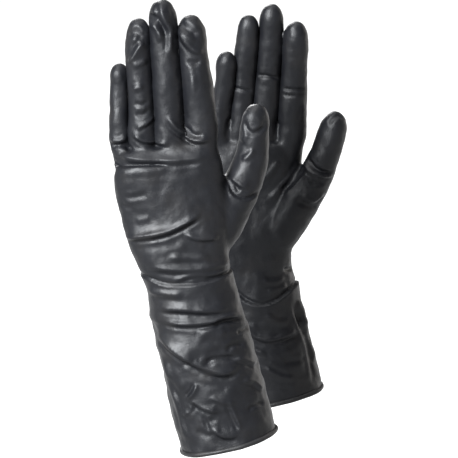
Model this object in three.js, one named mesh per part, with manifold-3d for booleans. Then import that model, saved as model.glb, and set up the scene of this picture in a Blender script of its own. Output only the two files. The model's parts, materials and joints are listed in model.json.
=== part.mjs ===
// A pair of dipped rubber gauntlet gloves, filled out as if hands were in them.
// Millimetres, +Z up. The origin is the centre of the left glove's hand opening. The left
// glove shows its back to -Y and the right glove, standing behind it, shows its palm to -Y.
//
// Each glove is modelled in its own glove frame: origin at the wrist, x across the hand
// towards the thumb, y out of the palm, z along the hand to the middle fingertip. A right
// glove is the mirror image of a left one in y. The film is a 1 mm wall over a hollow, split
// where the hand inside it bends, and each moving group turns about its own local x axis.

import * as THREE from 'three';
import { mergeVertices } from 'three/addons/utils/BufferGeometryUtils.js';
import Module from 'manifold-3d';

const wasm = await Module();
wasm.setup();

// ---- driving dimensions, mm and degrees ----
const WALL = 1.0;              // thickness of the rubber
const GAP = 0.3;               // clearance left between neighbouring solids
const THUMB_ROOM = 0.8;        // clearance beside the thumb, so that it can swing back
const PALM_WIDTH = 69;
const WRIST = { halfWidth: 30.3, halfDepth: 21 };
const MID_CUFF = { halfWidth: 30.6, halfDepth: 25 };
const MOUTH = { halfWidth: 31.3, halfDepth: 27 };
const WRIST_LAP = 16;          // the cuff and palm forms run this far past the wrist
const KNUCKLE_DISTANCE = 73;   // wrist to the knuckle line, on the hand's axis
const KNUCKLE_CENTRE = -6;     // the hand's middle, a little to the little finger's side
const KNUCKLE_SLOPE = 9;       // the knuckle line rises towards the index finger
const WEB_DISTANCE = 98.4;     // wrist to just past the webs between the fingers
const WEB_CENTRE = 6;
const WEB_SLOPE = 14;
const BEAD_RADIUS = 1.5;       // rolled bead round the hand opening

// How far each joint bends towards the palm and towards the back of the hand.
const WRIST_BEND = { flex: 40, extend: 50 };
const KNUCKLE_BEND = { flex: 65, extend: 10 };
const MIDDLE_BEND = { flex: 90, extend: 0 };
const END_BEND = { flex: 60, extend: 0 };
const THUMB_BEND = { flex: 25, extend: 12 };
const THUMB_END_BEND = { flex: 60, extend: 0 };
const BEND_ROOM = 1.5;         // extra opening of every joint's wedge, degrees

// Half-widths at the root and the end of each stall, and where its two joints lie, measured
// from the fingertip.
const FINGERS = {
  little: { root: 7.0, end: 6.2, endJoint: 20, middleJoint: 37 },
  ring: { root: 8.0, end: 7.2, endJoint: 24, middleJoint: 48 },
  middle: { root: 8.4, end: 7.6, endJoint: 24.5, middleJoint: 50 },
  index: { root: 9.0, end: 7.8, endJoint: 23.5, middleJoint: 48 },
};
// The thumb's first joint is a share of its length from the root, its second is measured from
// the tip.
const THUMB = { rootJoint: 0.55, endJoint: 30, bendsTowards: new THREE.Vector3(-0.05, 1, 0) };

// Sections of the palm and thumb: share of the length, half-width, half-depth.
const PALM_SECTIONS = [
  [0, WRIST.halfWidth, WRIST.halfDepth], [0.15, WRIST.halfWidth, WRIST.halfDepth],
  [0.38, PALM_WIDTH / 2 - 0.7, 20], [0.62, PALM_WIDTH / 2 + 0.4, 17.5],
  [0.82, PALM_WIDTH / 2, 14.5], [1, PALM_WIDTH / 2 - 1, 11.5],
];
const THUMB_SECTIONS = [[0, 17, 14], [0.2, 16.5, 15], [0.45, 13.5, 13], [0.7, 10, 10], [1, 9, 8.8]];

// Centre line of the palm, [across, along], from below the wrist to the webs.
const PALM_LINE = [[0, -WRIST_LAP], [0, 0], [-3, 25], [-5, 50], [-6, 72], [-7.2, 92]];

// Where the stalls of each glove point: the centre of each stall at the webs and at its tip.
const LEFT = {
  name: 'left',
  mirrored: false,
  lean: -5.5,
  cuffLean: 7.9,
  cuffLength: 113.8,
  stalls: {
    little: { root: [-36.3, 4.6], tip: [-32.8, 9, 143.5] },
    ring: { root: [-20.8, 0.5], tip: [-17.4, 4.5, 173] },
    middle: { root: [-3.6, -0.5], tip: [0, 3.5, 183.8] },
    index: { root: [16.6, 0], tip: [16, 5, 172] },
  },
  thumb: [[12, 3, 8], [25, 6, 28], [38, 9, 50], [48.8, 11, 78], [54, 13, 107.5]],
};
const RIGHT = {
  name: 'right',
  mirrored: true,
  lean: 4.7,
  cuffLean: 16.4,
  cuffLength: 90.3,
  stalls: {
    little: { root: [-31.6, 3.4], tip: [-29.5, 11, 150] },
    ring: { root: [-16.2, 0.3], tip: [-15.6, 8, 176] },
    middle: { root: [1.4, -0.3], tip: [0.8, 6.5, 184.5] },
    index: { root: [20.2, 0], tip: [17.9, 8, 174.5] },
  },
  thumb: [[12, 3, 8], [22, 6, 30], [33, 9, 56], [43.5, 11, 84], [52, 13, 115.5]],
};
const RIGHT_WRIST = new THREE.Vector3(14.6, 150, 82.9);

const RUBBER = { color: 0x232326, roughness: 0.42, metalness: 0 };
const BEAD_RUBBER = { color: 0x1b1b1e, roughness: 0.5, metalness: 0 };

// How finely the round forms are made.
const STALL_MESH = { sides: 10, rows: 5, roundEnd: true };
const THUMB_MESH = { sides: 12, rows: 6, roundEnd: true };
const PALM_MESH = { sides: 20, rows: 6 };
const CUFF_MESH = { sides: 22, rows: 4 };
const BEAD_MESH = { sides: 26, corners: 8 };
const DOME_ANGLES = [35, 65];
const DOME_STRETCH = 1.15;     // depth of a fingertip's dome, in half-widths

const X = new THREE.Vector3(1, 0, 0);
const Y = new THREE.Vector3(0, 1, 0);
const radians = THREE.MathUtils.degToRad;

// ---- solids ----
function solidFrom(geometry) {
  geometry.deleteAttribute('normal');
  geometry.deleteAttribute('uv');
  const merged = mergeVertices(geometry, 1e-4);
  return new wasm.Manifold(new wasm.Mesh({
    numProp: 3,
    vertProperties: merged.attributes.position.array,
    triVerts: new Uint32Array(merged.index.array),
  }));
}

function geometryFrom(solid, mirrored) {
  const { vertProperties, triVerts } = solid.getMesh();
  const position = Float32Array.from(vertProperties);
  const index = Uint32Array.from(triVerts);
  if (mirrored) {
    for (let i = 1; i < position.length; i += 3) position[i] *= -1;
    for (let i = 0; i < index.length; i += 3) [index[i], index[i + 1]] = [index[i + 1], index[i]];
  }
  const geometry = new THREE.BufferGeometry();
  geometry.setAttribute('position', new THREE.BufferAttribute(position, 3));
  geometry.setIndex(new THREE.BufferAttribute(index, 1));
  return geometry;
}

// A limb with an oval section along a curve. size(t) gives [halfWidth, halfDepth] at t, from
// 0 to 1. With a round end it closes in a dome as deep as its half-width, else it ends flat.
function limb(curve, size, { sides, rows, roundEnd = false, shrink = 0, tilt = 0 }) {
  const length = curve.getLength();
  const endDepth = roundEnd ? (size(1)[0] - shrink) * DOME_STRETCH : 0;
  const stop = (length - shrink) / length;
  const domeStart = stop - endDepth / length;
  const profile = [new THREE.Vector2(0, 0)];
  for (let i = 0; i <= rows; i++) profile.push(new THREE.Vector2(1, (domeStart * i) / rows));
  if (roundEnd) {
    for (const angle of DOME_ANGLES) {
      const rise = Math.sin(radians(angle)) * (stop - domeStart);
      profile.push(new THREE.Vector2(Math.cos(radians(angle)), domeStart + rise));
    }
  }
  profile.push(new THREE.Vector2(0, stop));
  const geometry = new THREE.LatheGeometry(profile, sides);
  const place = geometry.attributes.position;
  for (let i = 0; i < place.count; i++) {
    const t = THREE.MathUtils.clamp(place.getY(i), 0, 1);
    const along = curve.getTangentAt(t);
    const across = X.clone().addScaledVector(along, -along.x).normalize();
    const out = new THREE.Vector3().crossVectors(across, along);
    const [halfWidth, halfDepth] = size(t);
    const x = place.getX(i) * (halfWidth - shrink);
    const y = place.getZ(i) * (halfDepth - shrink);
    const point = curve.getPointAt(t).addScaledVector(across, x).addScaledVector(out, y);
    point.z += tilt * t * x;
    place.setXYZ(i, point.x, point.y, point.z);
  }
  return solidFrom(geometry);
}

// The wall of a limb: its outside and the hollow inside it.
function outsideAndInside(curve, size, options) {
  return {
    outside: limb(curve, size, options),
    inside: limb(curve, size, { ...options, shrink: WALL }),
  };
}

// A smooth run through [t, value, value] rows, level at each row.
function between(rows) {
  return (t) => {
    const next = Math.max(1, rows.findIndex((row) => row[0] >= t));
    const [low, high] = [rows[next - 1], rows[next]];
    const share = THREE.MathUtils.smoothstep(t, low[0], high[0]);
    return [1, 2].map((k) => THREE.MathUtils.lerp(low[k], high[k], share));
  };
}

// ---- joints ----
// A joint's matrix: local x is the hinge axis, local z runs along the limb.
function jointAt(position, along, palmSide = Y) {
  const axis = new THREE.Vector3().crossVectors(palmSide, along).normalize();
  const palm = new THREE.Vector3().crossVectors(along, axis).normalize();
  return new THREE.Matrix4().makeBasis(axis, palm, along.clone().normalize()).setPosition(position);
}

// Everything on one side of a joint. The two sides meet in a point at the hinge axis and open
// into a wedge towards the palm and the back, so that the limb can bend without overlap.
function sideOf(joint, bend, direction) {
  const reach = 40;
  const length = 170;
  const width = 180;
  const slope = (angle) => (angle ? Math.tan(radians(angle / 2 + BEND_ROOM)) : 0);
  const start = direction * GAP / 2;
  const outline = new THREE.Shape([
    [0, start],
    [reach, start + direction * slope(bend.flex) * reach],
    [reach, direction * length],
    [-reach, direction * length],
    [-reach, start + direction * slope(bend.extend) * reach],
  ].map(([palm, along]) => new THREE.Vector2(palm, along)));
  const geometry = new THREE.ExtrudeGeometry(outline, { depth: width, bevelEnabled: false });
  geometry.translate(0, 0, -width / 2);
  const upright = new THREE.Matrix4().makeBasis(
    new THREE.Vector3(0, 1, 0), new THREE.Vector3(0, 0, 1), new THREE.Vector3(1, 0, 0));
  geometry.applyMatrix4(upright).applyMatrix4(joint);
  return solidFrom(geometry);
}

const beyond = (solid, joint, bend) => solid.intersect(sideOf(joint, bend, 1));
const before = (solid, joint, bend) => solid.intersect(sideOf(joint, bend, -1));

// ---- shapes of the glove ----
// A stall starts inside the hand, below the knuckle line, and curls a little at its end.
function stallLimb(spec, place) {
  const [rootX, rootY] = place.root;
  const tip = new THREE.Vector3(...place.tip);
  const buried = 6;
  const fan = 0.06;
  const curl = 0.25;
  const start = new THREE.Vector3(rootX - fan * (tip.x - rootX), rootY, KNUCKLE_DISTANCE - buried);
  const webs = new THREE.Vector3(rootX, rootY, WEB_DISTANCE - 4);
  const half = webs.clone().lerp(tip, 0.5);
  half.y -= curl * (tip.y - rootY);
  const curve = new THREE.CatmullRomCurve3([start, webs, half, tip]);
  const size = between([
    [0, spec.root, spec.root + 1], [0.35, spec.root, spec.root], [1, spec.end, spec.end],
  ]);
  return { curve, size, options: STALL_MESH };
}

function palmLimb() {
  const curve = new THREE.CatmullRomCurve3(PALM_LINE.map(([x, z]) => new THREE.Vector3(x, 0, z)));
  const options = { ...PALM_MESH, tilt: Math.tan(radians(WEB_SLOPE)) };
  return { curve, size: between(PALM_SECTIONS), options };
}

function thumbLimb(points) {
  const curve = new THREE.CatmullRomCurve3(points.map((p) => new THREE.Vector3(...p)));
  return { curve, size: between(THUMB_SECTIONS), options: THUMB_MESH };
}

// The cuff runs from just above the wrist down to the bead at the hand opening.
function cuffLimb(mouth) {
  const down = mouth.clone().normalize();
  const curve = new THREE.LineCurve3(down.clone().multiplyScalar(-WRIST_LAP), mouth);
  const size = between([
    [0, WRIST.halfWidth, WRIST.halfDepth], [0.25, WRIST.halfWidth - 0.8, WRIST.halfDepth],
    [0.75, MID_CUFF.halfWidth, MID_CUFF.halfDepth], [1, MOUTH.halfWidth, MOUTH.halfDepth],
  ]);
  return { curve, size, down };
}

function cuffSleeve(mouth, wristJoint) {
  const { curve, size, down } = cuffLimb(mouth);
  const outside = limb(curve, size, CUFF_MESH);
  const openEnd = 5;
  const longer = new THREE.LineCurve3(curve.v1, curve.v2.clone().addScaledVector(down, openEnd));
  const inside = limb(longer, size, { ...CUFF_MESH, shrink: WALL });
  const beadTop = jointAt(mouth.clone().addScaledVector(down, -2 * BEAD_RADIUS), down);
  const sleeve = before(outside.subtract(inside), wristJoint, WRIST_BEND);
  return before(sleeve, beadTop, { flex: 0, extend: 0 });
}

// The rolled bead: a ring of flattened round section just past the end of the sleeve.
function rolledBead(mouth) {
  const { size, down } = cuffLimb(mouth);
  const [halfWidth, halfDepth] = size(1);
  const flattening = 0.9;
  const section = [];
  for (let corner = 0; corner <= BEAD_MESH.corners; corner++) {
    const angle = 2 * Math.PI * (corner + 0.5) / BEAD_MESH.corners;
    section.push(new THREE.Vector2(
      halfWidth - WALL / 2 + BEAD_RADIUS * Math.cos(angle),
      -BEAD_RADIUS + BEAD_RADIUS * flattening * Math.sin(angle)));
  }
  const geometry = new THREE.LatheGeometry(section, BEAD_MESH.sides);
  geometry.applyMatrix4(new THREE.Matrix4().makeScale(1, 1, halfDepth / halfWidth));
  const frame = jointAt(mouth, down, Y);
  geometry.applyMatrix4(new THREE.Matrix4().makeBasis(X, new THREE.Vector3(0, 0, 1), Y.clone().negate()));
  geometry.applyMatrix4(frame);
  return solidFrom(geometry);
}

// ---- one glove ----
function makeGlove(spec) {
  const glove = new THREE.Group();
  const name = (piece) => `${spec.name}_${piece}`;

  // A group that turns about a joint. It holds its place in the parent group.
  function pivot(parent, joint) {
    const matrix = joint.clone();
    if (spec.mirrored) {
      const axis = new THREE.Vector3().setFromMatrixColumn(joint, 0);
      const along = new THREE.Vector3().setFromMatrixColumn(joint, 2);
      const place = new THREE.Vector3().setFromMatrixPosition(joint);
      for (const vector of [axis, along, place]) vector.y *= -1;
      matrix.makeBasis(axis, new THREE.Vector3().crossVectors(along, axis), along).setPosition(place);
    }
    const group = new THREE.Group();
    group.userData.toGlove = matrix;
    const toParent = parent.userData.toGlove.clone().invert().multiply(matrix);
    toParent.decompose(group.position, group.quaternion, group.scale);
    parent.add(group);
    return group;
  }

  function addMesh(parent, piece, solid, material = RUBBER) {
    const geometry = geometryFrom(solid, spec.mirrored);
    geometry.applyMatrix4(parent.userData.toGlove.clone().invert());
    const mesh = new THREE.Mesh(geometry, new THREE.MeshStandardMaterial(material));
    mesh.name = name(piece);
    parent.add(mesh);
  }

  glove.userData.toGlove = new THREE.Matrix4();
  const cuffAngle = radians(spec.cuffLean);
  const mouth = new THREE.Vector3(Math.sin(cuffAngle), 0, -Math.cos(cuffAngle))
    .multiplyScalar(spec.cuffLength);
  glove.userData.mouth = mouth;

  // Joints of the wrist, the knuckle line and the webs, in the glove frame.
  const leaning = (angle) => new THREE.Vector3(-Math.sin(radians(angle)), 0, Math.cos(radians(angle)));
  const wristJoint = jointAt(new THREE.Vector3(0, 0, 0), leaning(spec.cuffLean / 2));
  const knuckleJoint = jointAt(
    new THREE.Vector3(KNUCKLE_CENTRE, 0, KNUCKLE_DISTANCE), leaning(KNUCKLE_SLOPE));
  const webLine = jointAt(new THREE.Vector3(WEB_CENTRE, 0, WEB_DISTANCE), leaning(WEB_SLOPE));
  const straight = { flex: 0, extend: 0 };

  // Limbs of the hand, then the whole hand as one wall.
  const palm = outsideAndInside(...Object.values(palmLimb()));
  const thumbShape = thumbLimb(spec.thumb);
  const thumb = outsideAndInside(...Object.values(thumbShape));
  const stalls = Object.entries(FINGERS).map(([finger, sizes]) => {
    const shape = stallLimb(sizes, spec.stalls[finger]);
    const length = shape.curve.getLength();
    const at = (fromTip) => {
      const t = 1 - fromTip / length;
      return jointAt(shape.curve.getPointAt(t), shape.curve.getTangentAt(t));
    };
    const wall = outsideAndInside(shape.curve, shape.size, shape.options);
    return { finger, ...wall, middleJoint: at(sizes.middleJoint), endJoint: at(sizes.endJoint) };
  });

  const thumbLength = thumbShape.curve.getLength();
  const thumbAt = (t) => jointAt(
    thumbShape.curve.getPointAt(t), thumbShape.curve.getTangentAt(t), THUMB.bendsTowards);
  const thumbJoint = thumbAt(THUMB.rootJoint);
  const thumbEndJoint = thumbAt(1 - THUMB.endJoint / thumbLength);

  let outside = palm.outside.add(before(thumb.outside, thumbJoint, THUMB_BEND));
  let inside = palm.inside.add(thumb.inside);
  for (const stall of stalls) {
    outside = outside.add(stall.outside);
    inside = inside.add(stall.inside);
  }
  const hand = outside.subtract(inside);

  // Cuff.
  addMesh(glove, 'cuff', cuffSleeve(mouth, wristJoint));
  addMesh(glove, 'cuff_bead', rolledBead(mouth), BEAD_RUBBER);

  // Palm and thumb.
  const palmGroup = pivot(glove, wristJoint);
  const palmWall = before(beyond(hand, wristJoint, WRIST_BEND), knuckleJoint, KNUCKLE_BEND);
  addMesh(palmGroup, 'palm', palmWall);
  const grown = ({ curve, size, options }) => limb(curve, size, { ...options, shrink: -THUMB_ROOM });
  const handRoom = grown(palmLimb()).add(grown(stallLimb(FINGERS.index, spec.stalls.index)));
  const thumbWall = beyond(thumb.outside.subtract(thumb.inside), thumbJoint, THUMB_BEND)
    .subtract(handRoom);
  const thumbGroup = pivot(palmGroup, thumbJoint);
  addMesh(thumbGroup, 'thumb_base', before(thumbWall, thumbEndJoint, THUMB_END_BEND));
  const thumbEndGroup = pivot(thumbGroup, thumbEndJoint);
  addMesh(thumbEndGroup, 'thumb_tip', beyond(thumbWall, thumbEndJoint, THUMB_END_BEND));

  // Knuckle band and the four finger stalls.
  const knuckleGroup = pivot(palmGroup, knuckleJoint);
  const knuckleBand = before(beyond(hand, knuckleJoint, KNUCKLE_BEND), webLine, straight);
  addMesh(knuckleGroup, 'knuckle_band', knuckleBand);
  for (const { finger, outside: form, inside: hollow, middleJoint, endJoint } of stalls) {
    const wall = form.subtract(hollow);
    const lower = before(beyond(wall, webLine, straight), middleJoint, MIDDLE_BEND);
    addMesh(knuckleGroup, `${finger}_stall`, lower);
    const middleGroup = pivot(knuckleGroup, middleJoint);
    const middle = before(beyond(wall, middleJoint, MIDDLE_BEND), endJoint, END_BEND);
    addMesh(middleGroup, `${finger}_middle`, middle);
    const endGroup = pivot(middleGroup, endJoint);
    addMesh(endGroup, `${finger}_tip`, beyond(wall, endJoint, END_BEND));
  }

  glove.rotation.y = radians(spec.lean);
  return glove;
}

// ---- the pair ----
const group = new THREE.Group();

const left = makeGlove(LEFT);
left.position.copy(left.userData.mouth).applyEuler(left.rotation).negate();
group.add(left);

const right = makeGlove(RIGHT);
right.position.copy(RIGHT_WRIST);
group.add(right);

export default group;
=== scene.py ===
# Black dipped rubber gauntlet gloves: the looks of the pair, on the imported frame.
#
# Each glove is first one whole skin: tapered limbs are joined by a voxel remesh, smoothed
# into webs, then given its folds. The skin is then divided where the hand inside it bends,
# into pieces that stand in place of the CAD nodes.
# Glove frame, in millimetres: origin at the wrist, x towards the thumb, y out of the palm,
# z along the hand. MM turns it into the metres of the row frame.

import json
import math
import random

import bmesh
import bpy
import numpy as np
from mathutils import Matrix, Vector, noise


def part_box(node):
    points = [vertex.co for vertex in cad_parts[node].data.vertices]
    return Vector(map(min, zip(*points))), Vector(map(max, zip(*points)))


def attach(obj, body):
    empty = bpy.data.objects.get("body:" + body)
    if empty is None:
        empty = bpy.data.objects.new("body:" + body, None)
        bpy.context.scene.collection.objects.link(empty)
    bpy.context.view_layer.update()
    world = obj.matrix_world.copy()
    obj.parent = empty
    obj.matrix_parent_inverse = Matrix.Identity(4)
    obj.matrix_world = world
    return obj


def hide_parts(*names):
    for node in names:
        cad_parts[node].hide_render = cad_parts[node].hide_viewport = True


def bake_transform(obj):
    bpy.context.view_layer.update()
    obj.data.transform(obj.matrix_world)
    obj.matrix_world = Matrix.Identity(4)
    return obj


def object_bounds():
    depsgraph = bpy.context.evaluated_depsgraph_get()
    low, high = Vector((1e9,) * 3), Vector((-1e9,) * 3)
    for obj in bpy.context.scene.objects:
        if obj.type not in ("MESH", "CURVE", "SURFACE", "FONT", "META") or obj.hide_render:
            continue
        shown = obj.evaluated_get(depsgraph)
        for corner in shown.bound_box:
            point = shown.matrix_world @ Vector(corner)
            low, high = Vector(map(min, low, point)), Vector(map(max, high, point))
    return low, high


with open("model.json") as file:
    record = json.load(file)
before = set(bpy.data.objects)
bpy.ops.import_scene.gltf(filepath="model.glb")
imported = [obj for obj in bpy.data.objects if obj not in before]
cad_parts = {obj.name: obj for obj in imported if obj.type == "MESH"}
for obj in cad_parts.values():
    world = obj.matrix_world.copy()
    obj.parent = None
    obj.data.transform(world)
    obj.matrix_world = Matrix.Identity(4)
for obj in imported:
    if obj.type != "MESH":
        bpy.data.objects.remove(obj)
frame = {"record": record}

CAD_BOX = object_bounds()

MM = 0.001
FILM = 1.0              # thickness of the rubber, mm
VOXEL = 1.0             # resolution of the skin, mm
FINGERS = ("little", "ring", "middle", "index")
TAU = 2 * math.pi

JOINTS = {joint["name"]: joint for joint in frame["record"]["behaviour"]["joints"]}


# ---------------------------------------------------------------- the glove frame
class Glove:
    """The places of one glove, in its glove frame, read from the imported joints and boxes."""

    def __init__(self, side, lean, fingers, webs, thumb_root, thumb_shift, crotch, mouth_shift):
        self.side = side
        self.palm_sign = 1 if side == "left" else -1
        self.origin = np.array(JOINTS[f"{side}_wrist"]["pos_m"]) / MM
        angle = math.radians(lean)
        self.turn = np.array([
            [math.cos(angle), 0, math.sin(angle)],
            [0, 1, 0],
            [-math.sin(angle), 0, math.cos(angle)],
        ])
        self.fingers = fingers
        self.webs = webs
        self.thumb_root = thumb_root
        self.thumb_shift = thumb_shift
        self.crotch = np.array(crotch, float)
        self.knuckles = self.joint("knuckles")
        low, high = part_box(f"{side}_cuff_bead")
        mouth = self.inside((np.array(low) + np.array(high)) / 2 / MM)
        self.mouth = mouth * (1 + mouth_shift / np.linalg.norm(mouth))

    def outside(self, points):
        """Glove frame mm to row frame metres."""
        flipped = np.asarray(points, float) * [1, self.palm_sign, 1]
        return (flipped @ self.turn.T + self.origin) * MM

    def inside(self, points_mm):
        """Row frame mm to glove frame mm."""
        return ((np.asarray(points_mm, float) - self.origin) @ self.turn) * [1, self.palm_sign, 1]

    def joint(self, name):
        return self.inside(np.array(JOINTS[f"{self.side}_{name}"]["pos_m"]) / MM)

    def tip(self, node):
        """The end of a stall: on the line from its end joint through the middle of its tip node."""
        low, high = (np.array(corner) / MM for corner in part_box(f"{self.side}_{node}_tip"))
        joint = np.array(JOINTS[f"{self.side}_{node}_tip_bend"]["pos_m"]) / MM
        way = (low + high) / 2 - joint
        return self.inside(joint + way * (high[2] - joint[2]) / way[2])


# Each finger: where its root is (x, y), how far its middle joint and its tip lean from the packed
# joints in x, and its half-width. Webs: their height at x = 0, and how much it rises per mm of x.
LEFT = Glove(
    "left", lean=-5.5,
    fingers={
        "little": ((-35.2, 4.2), (1.0, 1.4), 7.0), "ring": ((-20.4, 0.4), (0.7, 1.1), 8.8),
        "middle": ((-2.4, -0.6), (1.3, 0.8), 9.9), "index": ((17.2, 0.0), (1.8, 0.6), 10.4),
    },
    webs=(91, 0.37), thumb_root=[(10, 3, 12), (24, 6, 30)], thumb_shift=(1.0, 3.0),
    crotch=(31.5, 9, 58), mouth_shift=1.6)
RIGHT = Glove(
    "right", lean=4.7,
    fingers={
        "little": ((-29.9, 3.2), (2.2, 2.4), 7.4), "ring": ((-15.0, 0.3), (1.0, 1.2), 8.1),
        "middle": ((1.6, -0.3), (0.3, 0.2), 9.0), "index": ((19.9, 0.2), (-0.2, -0.6), 9.5),
    },
    webs=(97, 0.0), thumb_root=[(8, 3, 12), (20, 6, 34)], thumb_shift=(0.0, 1.5),
    crotch=(30, 9, 68), mouth_shift=2.6)


# ---------------------------------------------------------------- whole skin
def smoothstep(low, high, value):
    t = np.clip((value - low) / (high - low), 0, 1)
    return t * t * (3 - 2 * t)


def catmull(rows, steps):
    """A smooth run through rows of numbers, with a number of steps in each stretch."""
    rows = np.array(rows, float)
    padded = np.vstack([2 * rows[0] - rows[1], rows, 2 * rows[-1] - rows[-2]])
    made = []
    for i in range(len(rows) - 1):
        a, b, c, d = padded[i:i + 4]
        for t in np.arange(steps) / steps:
            made.append(0.5 * (2 * b + (c - a) * t + (2 * a - 5 * b + 4 * c - d) * t ** 2
                               + (3 * b - a - 3 * c + d) * t ** 3))
    made.append(rows[-1])
    return np.array(made)


def distance_to_line(points, line):
    """Distance of each point to a polyline in space."""
    best = np.full(len(points), 1e9)
    for a, b in zip(line, line[1:]):
        way = b - a
        t = np.clip((points - a) @ way / (way @ way), 0, 1)
        best = np.minimum(best, np.linalg.norm(points - a - t[:, None] * way, axis=1))
    return best


RUN_STEPS = 10                          # rings between two stations of a limb
DOME_ANGLES = (84, 70, 55, 38, 20)      # rings of a limb's rounded end, degrees from its side
DOME_LENGTH = 1.05                      # length of a rounded end, in half-widths


def limb(mesh, stations, dome_start=True, dome_end=True, squareness=2.0, sides=40, move=None):
    """Adds a closed oval limb. A station is x, y, z, half-width, half-depth."""
    run = catmull(stations, RUN_STEPS)
    rings = []
    across_hint = np.array([1.0, 0, 0])

    def ring(place, along, half_width, half_depth):
        across = across_hint - along * along[0]
        across /= np.linalg.norm(across)
        out = np.cross(along, across)
        angles = np.arange(sides) * TAU / sides
        power = 2 / squareness
        x = np.sign(np.cos(angles)) * np.abs(np.cos(angles)) ** power * half_width
        y = np.sign(np.sin(angles)) * np.abs(np.sin(angles)) ** power * half_depth
        return place + x[:, None] * across + y[:, None] * out

    def dome(station, along, way):
        depth = station[3] * DOME_LENGTH
        made = []
        for angle in np.radians(DOME_ANGLES):
            share = math.cos(angle)
            place = station[:3] - way * along * depth * (1 - math.sin(angle))
            made.append(ring(place, along, station[3] * share, station[4] * share))
        return made

    tangents = np.gradient(run[:, :3], axis=0)
    tangents /= np.linalg.norm(tangents, axis=1)[:, None]
    # a rounded end takes the last half-width of the limb
    length = np.concatenate([[0], np.cumsum(np.linalg.norm(np.diff(run[:, :3], axis=0), axis=1))])
    keep = np.ones(len(run), bool)
    if dome_end:
        keep &= length <= length[-1] - run[-1, 3] * DOME_LENGTH
    if dome_start:
        keep &= length >= run[0, 3] * DOME_LENGTH
    if dome_start:
        rings += dome(run[0], tangents[0], -1)
    rings += [ring(run[i, :3], tangents[i], run[i, 3], run[i, 4]) for i in np.flatnonzero(keep)]
    if dome_end:
        rings += dome(run[-1], tangents[-1], 1)[::-1]
    if move:
        for points in rings:
            points[:, 0] += move(points)
    verts = [[mesh.verts.new(point * MM) for point in points] for points in rings]
    for low, high in zip(verts, verts[1:]):
        for k in range(sides):
            j = (k + 1) % sides
            mesh.faces.new((low[k], low[j], high[j], high[k]))
    mesh.faces.new(verts[0][::-1])
    mesh.faces.new(verts[-1])


# Share of a finger's half-width: in the palm, root, between, middle joint, between, end joint,
# pad, tip.
FINGER_SHAPE = (0.97, 1.1, 1.05, 1.0, 0.99, 0.98, 0.95, 0.82)
DEPTH_OF_WIDTH = 0.95

# The stalls touch one another. While the skin is made they are moved this far sideways above
# the webs, so that the remesh leaves them apart, and then they are moved back.
APART = {"little": -4.8, "ring": -1.6, "middle": 1.6, "index": 4.8}


WEB_BELOW, WEB_ABOVE = 5, 10    # a web is this deep below and above its height


def spread_share(glove, x, z):
    """0 below the webs and 1 above them."""
    level, rise = glove.webs
    web = level + rise * x
    return smoothstep(web - WEB_BELOW, web + WEB_ABOVE, z)


def close_fingers(glove, skin):
    """Moves the stalls back beside one another."""
    x, _, z = skin.points.T
    centres, gaps = [], []
    for finger in FINGERS:
        line = np.array(finger_line(glove, finger))
        middle = np.interp(z, line[:, 2], line[:, 0])
        centre = middle + APART[finger] * spread_share(glove, middle, z)
        centres.append(centre)
        # a finger owns nothing above its own tip, except the middle one, which is the longest
        beyond = (z > line[-1, 2] + 1) & (finger != "middle")
        gaps.append(np.where(beyond, np.inf, np.abs(centre - x) / glove.fingers[finger][2]))
    centres = np.array(centres)
    shifts = np.array([APART[finger] for finger in FINGERS])
    nearest = shifts[np.array(gaps).argmin(0)]
    above = spread_share(glove, x, z)
    for _ in range(3):
        above = spread_share(glove, x - nearest * above, z)
    between = np.empty(len(x))
    for i in range(len(x)):
        between[i] = np.interp(x[i], centres[:, i], shifts)
    sharp = smoothstep(0.75, 1.0, above)
    thumb_gap = distance_to_line(skin.points, thumb_line(glove))
    hand = (x < centres[3]) | (x - centres[3] < thumb_gap)
    skin.points[:, 0] -= (between * (1 - sharp) + nearest * sharp) * above * hand


def finger_line(glove, finger):
    """Centre of a finger: palm, root, middle joint, end joint, tip."""
    (root_x, root_y), (middle_shift, tip_shift), _ = glove.fingers[finger]
    end_shift = (middle_shift + tip_shift) / 2
    return [
        np.array([root_x * 0.82, root_y * 0.5, 52]), np.array([root_x, root_y, 90]),
        glove.joint(f"{finger}_middle_bend") + [middle_shift, 0, 0],
        glove.joint(f"{finger}_tip_bend") + [end_shift, 0, 0],
        glove.tip(finger) + [tip_shift, 0, 0],
    ]


def add_finger(mesh, glove, finger):
    palm, root, middle, end, tip = finger_line(glove, finger)
    pad = end * 0.45 + tip * 0.55
    places = [palm, root, (root + middle) / 2, middle, (middle + end) / 2, end, pad, tip]
    halves = [share * glove.fingers[finger][2] for share in FINGER_SHAPE]
    stations = [[*place, half, half * DEPTH_OF_WIDTH] for place, half in zip(places, halves)]
    limb(mesh, stations,
         move=lambda points: APART[finger] * spread_share(glove, points[:, 0], points[:, 2]))


def thumb_line(glove):
    """Centre of the thumb: base joint, end joint, tip."""
    base_shift, tip_shift = glove.thumb_shift
    return (glove.joint("thumb_base_bend") + [base_shift, 0, 0],
            glove.joint("thumb_tip_bend") + [base_shift, 0, 0],
            glove.tip("thumb") + [tip_shift, 0, 0])


def add_thumb(mesh, glove):
    base, end, tip = thumb_line(glove)
    first, second = (np.array(point, float) for point in glove.thumb_root)
    limb(mesh, [
        [*first, 15, 13], [*second, 15, 14.5], [*(base * 0.75 + second * 0.25), 13, 12.8],
        [*(base * 0.6 + end * 0.4), 11.2, 11], [*end, 10.4, 10.2],
        [*(end * 0.5 + tip * 0.5), 9.4, 9.2], [*tip, 7.8, 7.6],
    ])


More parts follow.
